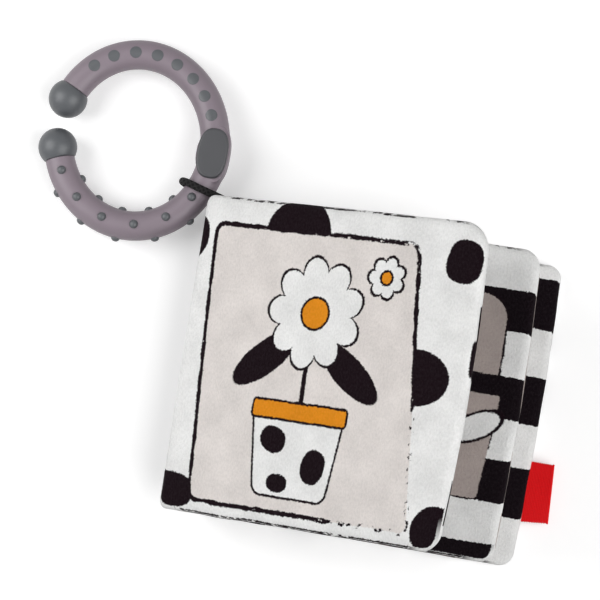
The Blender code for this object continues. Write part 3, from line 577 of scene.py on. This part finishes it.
def hem_print(page, wander, foot_corner, colour):
    """The cloth by the seam: bare white pile along the foot, and broken black marks, more at the foot."""
    hem = use_group(box_group, Page=wander, Half_Size=(0.0686, 0.0647, 1),
                    Corner=foot_corner)["Distance"]
    spot = split(page)
    x, y = spot["X"], spot["Y"]
    foot, head = ramp(y, -0.050, -0.060), ramp(y, 0.055, 0.060)
    for bare_width, where in ((0.0011, ramp(y, -0.040, -0.044)), (0.0027, foot)):
        bare = cover(minus(-bare_width, hem))
        colour = mixed(times(bare, where), colour, white)
    off_corners = ramp(calc('ABSOLUTE', x), 0.060, 0.055)
    by_seam = times(calc('MAXIMUM', foot, head), off_corners)
    gaps = minus(minus(0.95, times(foot, 0.10)), noise(page, 60.0, 1.0))
    for place, width in ((0.0005, 0.0014), (0.0020, 0.0010)):
        marks = brush_line(page, add(hem, place), width, gaps)
        colour = mixed(times(marks, by_seam), colour, ink)
    return colour


def blob(page, centre, half_size, turn=0.0, squareness=2.0):
    """A printed blob's fill and line."""
    return use_group(blob_group, Page=page, Centre=(*centre, 0), Half_Size=(*half_size, 1), Turn=turn,
                     Squareness=squareness, Line_Width=0.0010)


def box(page, centre, half_size, lean=0.0, spread=0.0, corner=0.002):
    """A printed box's fill, line and distance."""
    return use_group(box_group, Page=page, Centre=(*centre, 0), Half_Size=(*half_size, 1), Lean=lean,
                     Spread=spread, Corner=corner, Line_Width=0.0010)


def scattered(page, spacing, share):
    """Spots scattered over the cloth, their radius a share of their spacing."""
    return use_group(scatter_group, Page=page, Spacing=spacing, Radius_Share=share)["Fill"]


def outlined(shape, colour, paint):
    """A colour with a shape painted over it and then its dark outline."""
    return mixed(shape["Line"], mixed(shape["Fill"], colour, paint), ink)


back_place = leaf_place(0, 0.004, 0)
back_corners = ((0, 0), (0.0008, -0.0008), (0.0006, 0.0006), (0, 0))
back_fore_corner, back_bulge = (0.0055, 0.0060), 0.0012
spotted, shader, page, wander = plush_material("plush_back_outside")
finish_plush(shader, page, mixed(scattered(wander, 0.03, 0.3), white, ink))
back_skin = leaf_skin(-1, back_corners, back_fore_corner, back_bulge, 11, floor=-0.00395)
back_outer = plush_piece("back_leaf_outside", back_skin, spotted, back_place)
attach(back_outer, "back_leaf")
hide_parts("back_leaf_outer_skin")


# Back leaf, inner skin: the page that faces the reader, the same plush, printed edge to edge with
# broad dark and white stripes.
striped, shader, page, wander = plush_material("plush_back_inside")
colour = stripes(wander, (0.0572, 0.0358, 0.0161, -0.0039, -0.0221, -0.0427), white, black)
finish_plush(shader, page, hem_print(page, wander, back_fore_corner[1], colour))
back_skin = leaf_skin(1, back_corners, back_fore_corner, back_bulge, 12)
back_inner = plush_piece("back_leaf_inside", back_skin, striped, back_place)
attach(back_inner, "back_leaf")
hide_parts("back_leaf_inner_skin")


# Waddings: cut sheets of polyester fleece inside each leaf, under the skins. They stay as the
# frame has them, as loose white fibre.
fleece, tree, shader = blank_material("polyester_fleece", Roughness=1.0, Sheen_Weight=0.2)
loft = noise(object_place(tree), 700.0, 6.0, 0.75)
finish_surface(shader, mixed(loft, (0.72, 0.72, 0.70), (0.92, 0.92, 0.91)), loft, 0.0008)
for name in ("back_leaf_wadding", "middle_leaf_lower_wadding", "middle_leaf_upper_wadding",
             "front_cover_wadding"):
    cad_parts[name].material_slots[0].material = fleece


# Red tag: a woven satin ribbon folded over at its outer end, both ends caught in the back leaf's
# fore edge seam. It was sewn in a little askew. Its two sides are cut with a hot toothed blade.
tag_start, tag_top, tag_height = 0.0668, -0.0187, 0.0240
tag_reach_top, tag_reach_foot, tag_skew = 0.0112, 0.0125, 0.0012
tag_ply, tag_bend, tag_lift = 0.00045, 0.0005, 0.0004
tooth_count, tooth_depth = 12, 0.00024
across_tag = np.linspace(0, 1, 121)[:, None]
fold = np.radians(np.linspace(90, -90, 15))
run = np.concatenate([np.linspace(0, 1, 73), np.ones(13), np.linspace(1, 0, 73)])
rise = np.concatenate([np.full(72, tag_bend), tag_bend * np.sin(fold), np.full(72, -tag_bend)])
curl = np.concatenate([np.zeros(72), tag_bend * np.cos(fold), np.zeros(72)])
straight = tag_reach_top + (tag_reach_foot - tag_reach_top) * across_tag - tag_bend - tag_ply / 2
tooth = tooth_depth * np.abs(((run * tooth_count) % 1) - 0.5) * 4
x = tag_start + run * straight + curl
y = tag_top - tag_height * across_tag + (0.5 - across_tag) * 2 * (np.abs(across_tag - 0.5) > 0.499) * tooth
y = y + tag_skew * (run - 0.5) * across_tag
z = rise + tag_lift * run ** 2 * np.sin(across_tag * np.pi * 1.3 + 0.4)

weft_pitch, warp_pitch = 0.00042, 0.0007
ribbon, tree, shader = blank_material("red_satin_ribbon", Roughness=0.6, Specular_IOR_Level=0.2)
page = page_of(tree)
spot = split(page)
weft = calc('SINE', times(spot["Y"], 2 * math.pi / weft_pitch))
warp = calc('SINE', times(spot["X"], 2 * math.pi / warp_pitch))
weave = add(times(weft, 0.6), times(warp, 0.4))
slub = noise(vector('MULTIPLY', page, (400, 3000, 1)), 1.0, 3.0)
thread = add(times(weave, 0.25), slub, clamp=True)
finish_surface(shader, mixed(thread, (0.66, 0.0, 0.002), (0.86, 0.0, 0.004)), weave, 0.00006)
tag_points = np.stack(np.broadcast_arrays(x, y, z), axis=-1)
tag_page = np.stack(np.broadcast_arrays(run * 0.012 + curl, y, 0.0), axis=-1)
tag = sewn_piece("red_ribbon_tag", [(tag_points, False, False, tag_page)], ribbon, back_place)
ply = tag.modifiers.new("ribbon", 'SOLIDIFY')
ply.thickness = tag_ply
ply.offset = 0
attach(tag, "back_leaf")
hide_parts("red_tag")


# Spine bands: two strips of the dark plush, each sewn to a leaf on either side, doubled over so
# that their long edges are round. They let the book open and shut.
def band_surface(start, end, half_length, seed):
    """A strip between two seams: a flat oval section of 2 mm with round, slightly lumpy ends.

    The section is P(a) = middle + half * clip(1.6 cos a) + radius (cos a, sin a); along Y it keeps
    its size, and over the last millimetre it shrinks as a quarter circle to close the end.
    """
    radius, lengthways, lump_size, lump_share = 0.001, 150, 0.012, 0.12
    angle = np.linspace(0, 2 * np.pi, 96, endpoint=False)
    middle = (start + end) / 2
    flatness = (end - start) / 2 - radius
    x = middle + flatness * np.clip(np.cos(angle) * 1.6, -1, 1) + radius * np.cos(angle)
    z = radius * np.sin(angle)
    turn = np.linspace(0, np.pi / 2, 7)[1:]
    y = np.concatenate([-half_length + radius - radius * np.sin(turn[::-1]),
                        np.linspace(-half_length + radius, half_length - radius, lengthways),
                        half_length - radius + radius * np.sin(turn)])
    size = np.concatenate([np.cos(turn[::-1]), np.ones(lengthways), np.cos(turn)])[:, None]
    px = middle + (x - middle) * (0.15 + 0.85 * size)
    pz = z * size * (1 + lump_share * smooth_bumps(px, y[:, None], lump_size, seed))
    py = np.broadcast_to(y[:, None], px.shape)
    return np.stack([px, py, pz], axis=-1), np.stack([py, px + pz, 0 * px], axis=-1)


dark_plush, shader, page, wander = plush_material("plush_spine")
finish_plush(shader, page, (*ink, 1))
for name, stands_for, body, seam, lean, start, end in (
        ("lower_spine_band", "spine_lower_band", "lower_band", (-0.067125, 0.004), 28.0, 0.0008, 0.0069),
        ("upper_spine_band", "spine_upper_band", "upper_band", (-0.07182, 0.01283), 30.0, 0.00025, 0.00786)):
    place = leaf_place(*seam, 90 + lean)
    points, page = band_surface(start, end, 0.057, 31)
    band = sewn_piece(name, [(points, False, True, page)], dark_plush, place)
    if body == "upper_band":
        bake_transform(band)
    else:
        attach(band, body)
    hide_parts(stands_for)


# Middle leaf, lower skin: the page under it, taupe plush printed with white dots. It is sewn to
# the upper skin all round, over two waddings and the foil.
middle_place = leaf_place(-0.006807, 0.031964, 16.4)
middle_corners = ((0, 0), (-0.0006, -0.0015), (0.0003, 0.0006), (0, 0))
middle_fore_corner, middle_bulge = (0.0080, 0.0060), 0.0015
dotted, shader, page, wander = plush_material("plush_middle_under")
finish_plush(shader, page, mixed(scattered(wander, 0.022, 0.24), taupe, white))
middle_skin = leaf_skin(-1, middle_corners, middle_fore_corner, middle_bulge, 21)
middle_lower = plush_piece("middle_leaf_underside", middle_skin, dotted, middle_place)
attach(middle_lower, "middle_leaf")
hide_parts("middle_leaf_lower_skin")


# Rustling foil: a sheet of crisp clear film, laid loose between the middle leaf's waddings, that
# crackles when the leaf is squeezed. It stays as the frame has it.
film, tree, shader = blank_material("rustling_film", Roughness=0.3)
crease = noise(object_place(tree), 160.0, 5.0)
finish_surface(shader, mixed(crease, (0.62, 0.63, 0.66), (0.85, 0.86, 0.88)), crease, 0.0006)
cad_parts["rustling_foil"].material_slots[0].material = film


# Middle leaf, upper skin: plush printed with dark bars along its fore edge and two rounded taupe
# panels beside them.
barred, shader, page, wander = plush_material("plush_middle_top")
colour = stripes(wander, (0.0461, 0.0290, 0.0113, -0.0057, -0.0223, -0.0389, -0.0555), white, black)
arch = box(wander, (-0.0049, 0.0164), (0.0621, 0.0264), corner=0.010)
lower_panel = box(wander, (-0.0052, -0.0180), (0.0630, 0.0208), lean=-0.06, corner=0.001)
bar = box(wander, (-0.004, 0.0030), (0.0640, 0.0080), corner=0.001)
leaf_shape = blob(wander, (0.0520, -0.0105), (0.0105, 0.0052), -0.55)
colour = mixed(brush_line(page, arch["Distance"], 0.0018, 0.36), colour, ink)
colour = mixed(brush_line(page, lower_panel["Distance"], 0.0012, 0.50), colour, ink)
for shape, paint in ((arch, taupe), (bar, black), (lower_panel, taupe)):
    colour = mixed(shape["Fill"], colour, paint)
colour = outlined(leaf_shape, colour, white)
finish_plush(shader, page, hem_print(page, wander, middle_fore_corner[1], colour))
middle_skin = leaf_skin(1, middle_corners, middle_fore_corner, middle_bulge, 22)
middle_upper = plush_piece("middle_leaf_top", middle_skin, barred, middle_place)
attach(middle_upper, "middle_leaf")
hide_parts("middle_leaf_upper_skin")


# Front cover, inner skin: the cover's inside, white plush with large dark spots, some of which run
# round the edge.
front_place = leaf_place(-0.020814, 0.059266, 34.0)
front_corners = ((-0.0040, 0.0024), (-0.0003, -0.0002), (0.0008, 0.0006), (-0.0003, -0.0006))
front_fore_corner, front_bulge = (0.0110, 0.0070), 0.0026
cover_inside, shader, page, wander = plush_material("plush_cover_inside")
finish_plush(shader, page, mixed(scattered(wander, 0.036, 0.34), white, ink))
front_skin = leaf_skin(-1, front_corners, front_fore_corner, front_bulge, 41)
cover_inner = plush_piece("front_cover_inside", front_skin, cover_inside, front_place)
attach(cover_inner, "front_cover")
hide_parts("front_cover_inner_skin")


# Front cover, outer skin: white plush with large dark spots and a beige picture panel in a rough
# hand-drawn frame, in which a spotted flower pot stands with a daisy.
cover_print, shader, page, wander = plush_material("plush_cover_outside")
colour = white
for centre, half_size, turn, squareness in (
        ((0.0593, 0.0472), (0.0073, 0.0085), 0.15, 2.6), ((0.0460, 0.0009), (0.0138, 0.0109), 0.0, 2.1),
        ((0.0655, -0.0560), (0.0108, 0.0095), 0.5, 2.3), ((-0.0610, -0.0548), (0.0115, 0.0067), 0.1, 2.6),
        ((-0.0680, 0.0460), (0.0062, 0.0085), 0.0, 2.0), ((0.0688, 0.0110), (0.0024, 0.0072), 0.0, 4.0),
        ((-0.0178, 0.0500), (0.0158, 0.0155), 0.0, 2.0)):
    colour = mixed(blob(wander, centre, half_size, turn, squareness)["Fill"], colour, ink)
panel = box(wander, (-0.0044, -0.0030), (0.0505, 0.0548), 0.098, 0.031, 0.004)
colour = mixed(panel["Fill"], colour, beige)

# the frame's stroke is worn away at the foot towards the fore edge, and thin along the top there
spot = split(page)
x, y = spot["X"], spot["Y"]
worn = times(ramp(x, 0.0, 0.03), ramp(y, 0.0, -0.012))
thin = times(ramp(x, -0.02, 0.03), ramp(y, 0.03, 0.05))
gaps = add(add(0.28, times(worn, 0.30)), times(thin, 0.17))
colour = mixed(brush_line(page, panel["Distance"], 0.0019, gaps), colour, ink)

# the picture: a spotted flower pot with an orange rim, two dark leaves and a large daisy
for centre, half_size, turn in (((-0.0235, 0.0010), (0.0175, 0.0068), -0.65),
                                ((0.0175, -0.0010), (0.0165, 0.0064), 0.6)):
    colour = mixed(blob(wander, centre, half_size, turn)["Fill"], colour, ink)
colour = mixed(box(wander, (-0.0030, -0.0040), (0.0011, 0.0150))["Fill"], colour, ink)
pot = box(wander, (-0.0030, -0.0355), (0.0195, 0.0165), 0.0, -0.13, 0.004)
colour = mixed(pot["Fill"], colour, white)
for centre, half_size, turn in (((-0.0135, -0.0300), (0.0062, 0.0050), 0.3),
                                ((0.0070, -0.0385), (0.0055, 0.0068), 0.2),
                                ((-0.0090, -0.0465), (0.0050, 0.0036), 0.0)):
    patch = blob(wander, centre, half_size, turn, 2.3)["Fill"]
    colour = mixed(times(patch, pot["Fill"]), colour, ink)
colour = mixed(pot["Line"], colour, ink)
pot_rim = box(wander, (-0.0030, -0.0185), (0.0225, 0.0036), corner=0.0016)
colour = outlined(pot_rim, colour, orange)
for centre, size, petals, middle in (((-0.0030, 0.0205), 0.0225, 9.0, 0.0064),
                                     ((0.0270, 0.0375), 0.0085, 7.0, 0.0027)):
    flower = use_group(flower_group, Page=wander, Centre=(*centre, 0), Size=size, Petals=petals,
                       Line_Width=0.0010)
    colour = outlined(flower, colour, white)
    colour = outlined(blob(wander, centre, (middle, middle)), colour, orange)
finish_plush(shader, page, hem_print(page, wander, front_fore_corner[1], colour))
front_skin = leaf_skin(1, front_corners, front_fore_corner, front_bulge, 42)
cover_outer = plush_piece("front_cover_outside", front_skin, cover_print, front_place)
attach(cover_outer, "front_cover")
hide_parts("front_cover_outer_skin")


# Teether ring, body: an open C of mauve plastic tube, moulded in one piece, with a raised lip that
# holds the thumb pad. It lies on the floor beside the book, tied to it just below the pad.
ring_half = np.array((0.0326, 0.0359))
tube_radius = 0.0061
upper_end, lower_end = 139.5, -166.0
pad_angle, pad_half = -12.0, np.array((0.0063, 0.0104))
pad_top, pad_power = 0.0076, 2.6


def ring_line(degrees):
    """Spots and directions of the oval centre line, reach = 1 / hypot(cos a / 32.6, sin a / 35.9) mm."""
    angle = np.radians(degrees)
    heading = np.stack([np.cos(angle), np.sin(angle)], axis=-1)
    spot = heading / np.linalg.norm(heading / ring_half, axis=-1, keepdims=True)
    along = np.stack([-spot[..., 1] / ring_half[1] ** 2, spot[..., 0] / ring_half[0] ** 2], axis=-1)
    return spot, along / np.linalg.norm(along, axis=-1, keepdims=True)


def on_ring(degrees, local):
    """Points given as (outwards, along the tube, to the front) of a spot on the centre line."""
    spot, along = ring_line(degrees)
    outwards = np.array((along[1], -along[0]))
    flat = spot + local[..., :1] * outwards + local[..., 1:2] * along
    return np.concatenate([flat, local[..., 2:]], axis=-1)


def ring_body_surface(stations, around):
    """A tube r(a) wide round the centre line, r = tube + smooth positive part of (lip - tube).

    lip is how far the pad's squarish outline, half a millimetre larger, reaches in direction a,
    between 1 mm below the tube's middle and 5.2 mm above it. The ends close as flat discs with
    rounded rims.
    """
    lip_wall, lip_top, lip_foot, lip_fillet, fillet_rest = 0.0005, 0.0052, 0.0010, 0.0003, 0.000004
    degrees = np.linspace(lower_end, upper_end, stations)
    spot, along = ring_line(degrees)
    pad_spot, pad_along = ring_line(pad_angle)
    pad_out = np.array((pad_along[1], -pad_along[0]))
    beyond, aside = (spot - pad_spot) @ pad_along, (spot - pad_spot) @ pad_out
    lip_half = pad_half + lip_wall
    share = np.clip(1 - np.abs(beyond / lip_half[1]) ** pad_power, 0, 1)
    half = (lip_half[0] * share ** (1 / pad_power))[:, None]
    angle = np.linspace(0, 2 * np.pi, around, endpoint=False)[None]
    c, s = np.cos(angle), np.sin(angle)
    side = (half - np.sign(c) * aside[:, None]) / np.maximum(np.abs(c), 0.02)
    level = np.where(s > 0, lip_top, lip_foot) / np.maximum(np.abs(s), 0.02)
    past = np.where(share[:, None] > 0, np.minimum(side, level), 0) - tube_radius
    radius = tube_radius + 0.5 * (past + np.sqrt(past ** 2 + lip_fillet ** 2)) - fillet_rest

    # each end's rim: how far past the last station, and what share of the tube's radius
    rim = np.array(((0.00022, 0.0), (0.00022, 0.93), (0.0002, 0.965), (0.00012, 0.99), (0.00004, 0.998)))
    spot = np.concatenate([spot[:1] - along[:1] * rim[:, :1], spot, spot[-1:] + along[-1:] * rim[::-1, :1]])
    along = np.concatenate([along[:1].repeat(len(rim), 0), along, along[-1:].repeat(len(rim), 0)])
    radius = np.concatenate([radius[:1] * rim[:, 1:], radius, radius[-1:] * rim[::-1, 1:]])
    outwards = np.stack([along[:, 1], -along[:, 0]], axis=-1)
    flat = spot[:, None] + (radius * c)[..., None] * outwards[:, None]
    return np.concatenate([flat, (radius * s)[..., None]], axis=-1)


# the ring is turned on the floor, and tipped about the tube's line where the cord holds it
tied_angle, floor_turn, tip_angle = -38.862, 10, 1.2748
tied_spot, tied_along = ring_line(tied_angle)
on_floor = Matrix.Rotation(math.radians(floor_turn), 4, 'Z')
tip = Matrix.Rotation(-math.radians(tip_angle), 4, on_floor.to_3x3() @ Vector((*tied_along, 0)))
ring_place = (Matrix.Translation((-0.0849245, 0.0675905, 0.0098)) @ tip @ on_floor
              @ Matrix.Translation((-tied_spot[0], -tied_spot[1], 0)))

# moulded grain: the faint dull bloom and fine texture that a steel mould leaves on soft plastic
grain_group, given, result = new_group("moulded_grain", {"Place": (0, 0, 0)}, ["Bloom", "Height"])
link(noise(given["Place"], 90.0, 3.0), result["Bloom"])
link(noise(given["Place"], 4200.0, 2.0), result["Height"])


def plastic_material(name, dark, light, roughness):
    """A moulded plastic: two near colours by its bloom, a satin roughness and the mould's grain."""
    material, tree, shader = blank_material(name)
    grain = use_group(grain_group, Place=object_place(tree))
    satin = ramp(grain["Bloom"], 0.0, 1.0, roughness - 0.05, roughness + 0.05)
    finish_surface(shader, mixed(grain["Bloom"], dark, light), grain["Height"], 0.00001, satin)
    return material


mauve = plastic_material("mauve_plastic", (0.200, 0.163, 0.190), (0.230, 0.188, 0.219), 0.46)
ring_body = sewn_piece("teether_ring_body", [(ring_body_surface(640, 96), False, True)], mauve,
                       ring_place)
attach(ring_body, "ring")
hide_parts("ring_body")


# Teether ring, ball ends: two balls of softer grey plastic moulded over the tube's ends, each cut
# flat where it meets the tube.
def ball_surface(degrees, sign):
    """A sphere of 8.05 mm turned about the tube's line and cut at 5 mm, its cut edge rounded."""
    radius, cut, sunk = 0.00805, 0.0050, 0.0003
    turn = np.linspace(math.asin(cut / radius) - 0.05, -np.pi / 2, 60)
    rim = radius * math.cos(math.asin(cut / radius))
    reach = np.concatenate([[0, rim - 0.0005, rim - 0.0002, rim - 0.00003], radius * np.cos(turn)])
    height = np.concatenate([[cut, cut, cut - 0.00002, cut - 0.0001], radius * np.sin(turn)])
    reach[-1] = 0
    angle = np.linspace(0, 2 * np.pi, 96, endpoint=False)
    local = np.stack(np.broadcast_arrays(reach[:, None] * np.cos(angle), -sign * height[:, None],
                                         reach[:, None] * np.sin(angle)), axis=-1)
    local[..., 1] += sign * (cut + sunk)
    return on_ring(degrees, local)


soft_grey = plastic_material("soft_grey_plastic", (0.078, 0.083, 0.090), (0.091, 0.097, 0.105), 0.42)
for name, degrees, sign in (("upper", upper_end, 1), ("lower", lower_end, -1)):
    ball = sewn_piece(f"teether_{name}_ball", [(ball_surface(degrees, sign), False, True)], soft_grey,
                      ring_place)
    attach(ball, "ring")
    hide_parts(f"ring_{name}_ball")


# Teether ring, dots: eight round posts of the soft grey plastic right through the upper arm,
# their faces all but flush with the tube.
def both_ends(front):
    """A post's surface from its front face, turned to the back as well."""
    return np.concatenate([front, (front * (1, 1, -1))[::-1]])


def dot_surface():
    """A post of 2.5 mm whose ends follow a tube 0.12 mm larger, z = sqrt(r2 - (x + y2 / 68 mm)2)."""
    dot_flat, dot_rim, dot_proud, tube_bend = 0.0023, 0.0002, 0.00012, 0.068
    turn = np.linspace(0, np.pi / 2, 5)
    reach = np.concatenate([np.linspace(0, dot_flat, 9)[:-1], dot_flat + dot_rim * np.sin(turn)])[:, None]
    proud = np.concatenate([np.full(8, dot_proud), dot_proud - dot_rim * (1 - np.cos(turn))])[:, None]
    angle = np.linspace(0, 2 * np.pi, 48, endpoint=False)
    x, y = reach * np.cos(angle), reach * np.sin(angle)
    z = np.sqrt((tube_radius + proud) ** 2 - (x + y ** 2 / tube_bend) ** 2)
    return both_ends(np.stack([x, y, z], axis=-1))


first_dot, last_dot, dot_count = 119.466, 16.234, 8
for number, degrees in enumerate(np.linspace(first_dot, last_dot, dot_count), 1):
    dot = sewn_piece(f"teether_dot_{number}", [(on_ring(degrees, dot_surface()), False, True)], soft_grey,
                     ring_place)
    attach(dot, "ring")
    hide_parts(f"ring_dot_{number}")


# Teether ring, nubs: posts of the soft grey plastic through the lower arm, one row from front to
# back and one from side to side, whose domed ends stand proud for the gums.
def nub_surface():
    """A post of 1.85 mm with domed ends: height = 5.75 mm + 1.65 mm sin a, reach = 1.85 mm cos a."""
    nub_radius, nub_foot, nub_dome = 0.00185, 0.00575, 0.00165
    turn = np.linspace(np.pi / 2, 0, 14)[:, None]
    reach, height = nub_radius * np.cos(turn) ** 0.9, nub_foot + nub_dome * np.sin(turn)
    reach[0] = 0
    angle = np.linspace(0, 2 * np.pi, 36, endpoint=False)
    x, y, z = np.broadcast_arrays(reach * np.cos(angle), reach * np.sin(angle), height)
    return both_ends(np.stack([x, y, z], axis=-1))


first_nub, last_nub, nub_count = -46.412, -156.439, 6
front_nubs = np.linspace(first_nub, last_nub, nub_count)
side_nubs = (front_nubs[1:] + front_nubs[:-1]) / 2
for row, angles, order in (("front", front_nubs, (0, 1, 2)), ("side", side_nubs, (2, 1, 0))):
    for number, degrees in enumerate(angles, 1):
        surface = on_ring(degrees, nub_surface()[..., order])
        nub = sewn_piece(f"teether_{row}_nub_{number}", [(surface, False, True)], soft_grey,
                         ring_place)
        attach(nub, "ring")
        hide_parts(f"ring_{row}_nub_{number}")


# Teether ring, thumb pad: an oval of the soft grey plastic pressed into the tube's lip, flat on
# top, its rim rounded off. Its outline is |x/a|^2.6 + |y/b|^2.6 = 1, drawn in by an inset per row.
pad_round, pad_wall, pad_depth = 0.001, 0.0025, 0.0044
angle = np.linspace(0, 2 * np.pi, 160, endpoint=False)
rim = np.stack([np.cos(angle), np.sin(angle)], axis=-1)
rim = np.sign(rim) * np.abs(rim) ** (2 / pad_power)
turn = np.linspace(0, np.pi / 2, 9)
inset = np.concatenate([[pad_half[0], pad_half[0] / 2], pad_round * (1 - np.sin(turn)), [0, 0, pad_half[0]]])
sunk = np.concatenate([[0, 0], pad_round * (1 - np.cos(turn)), [pad_wall, pad_depth, pad_depth]])
rows = rim * np.maximum(pad_half - inset[:, None, None], 0)
rows[[0, -1]] = 0
level = np.broadcast_to((pad_top - sunk)[:, None, None], rows[..., :1].shape)
pad_points = np.concatenate([rows, level], axis=-1)
pad_colour = plastic_material("thumb_pad_plastic", (0.046, 0.047, 0.052), (0.056, 0.057, 0.062), 0.5)
pad = sewn_piece("teether_thumb_pad", [(on_ring(pad_angle, pad_points), False, True)], pad_colour,
                 ring_place)
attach(pad, "ring")
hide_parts("ring_thumb_pad")
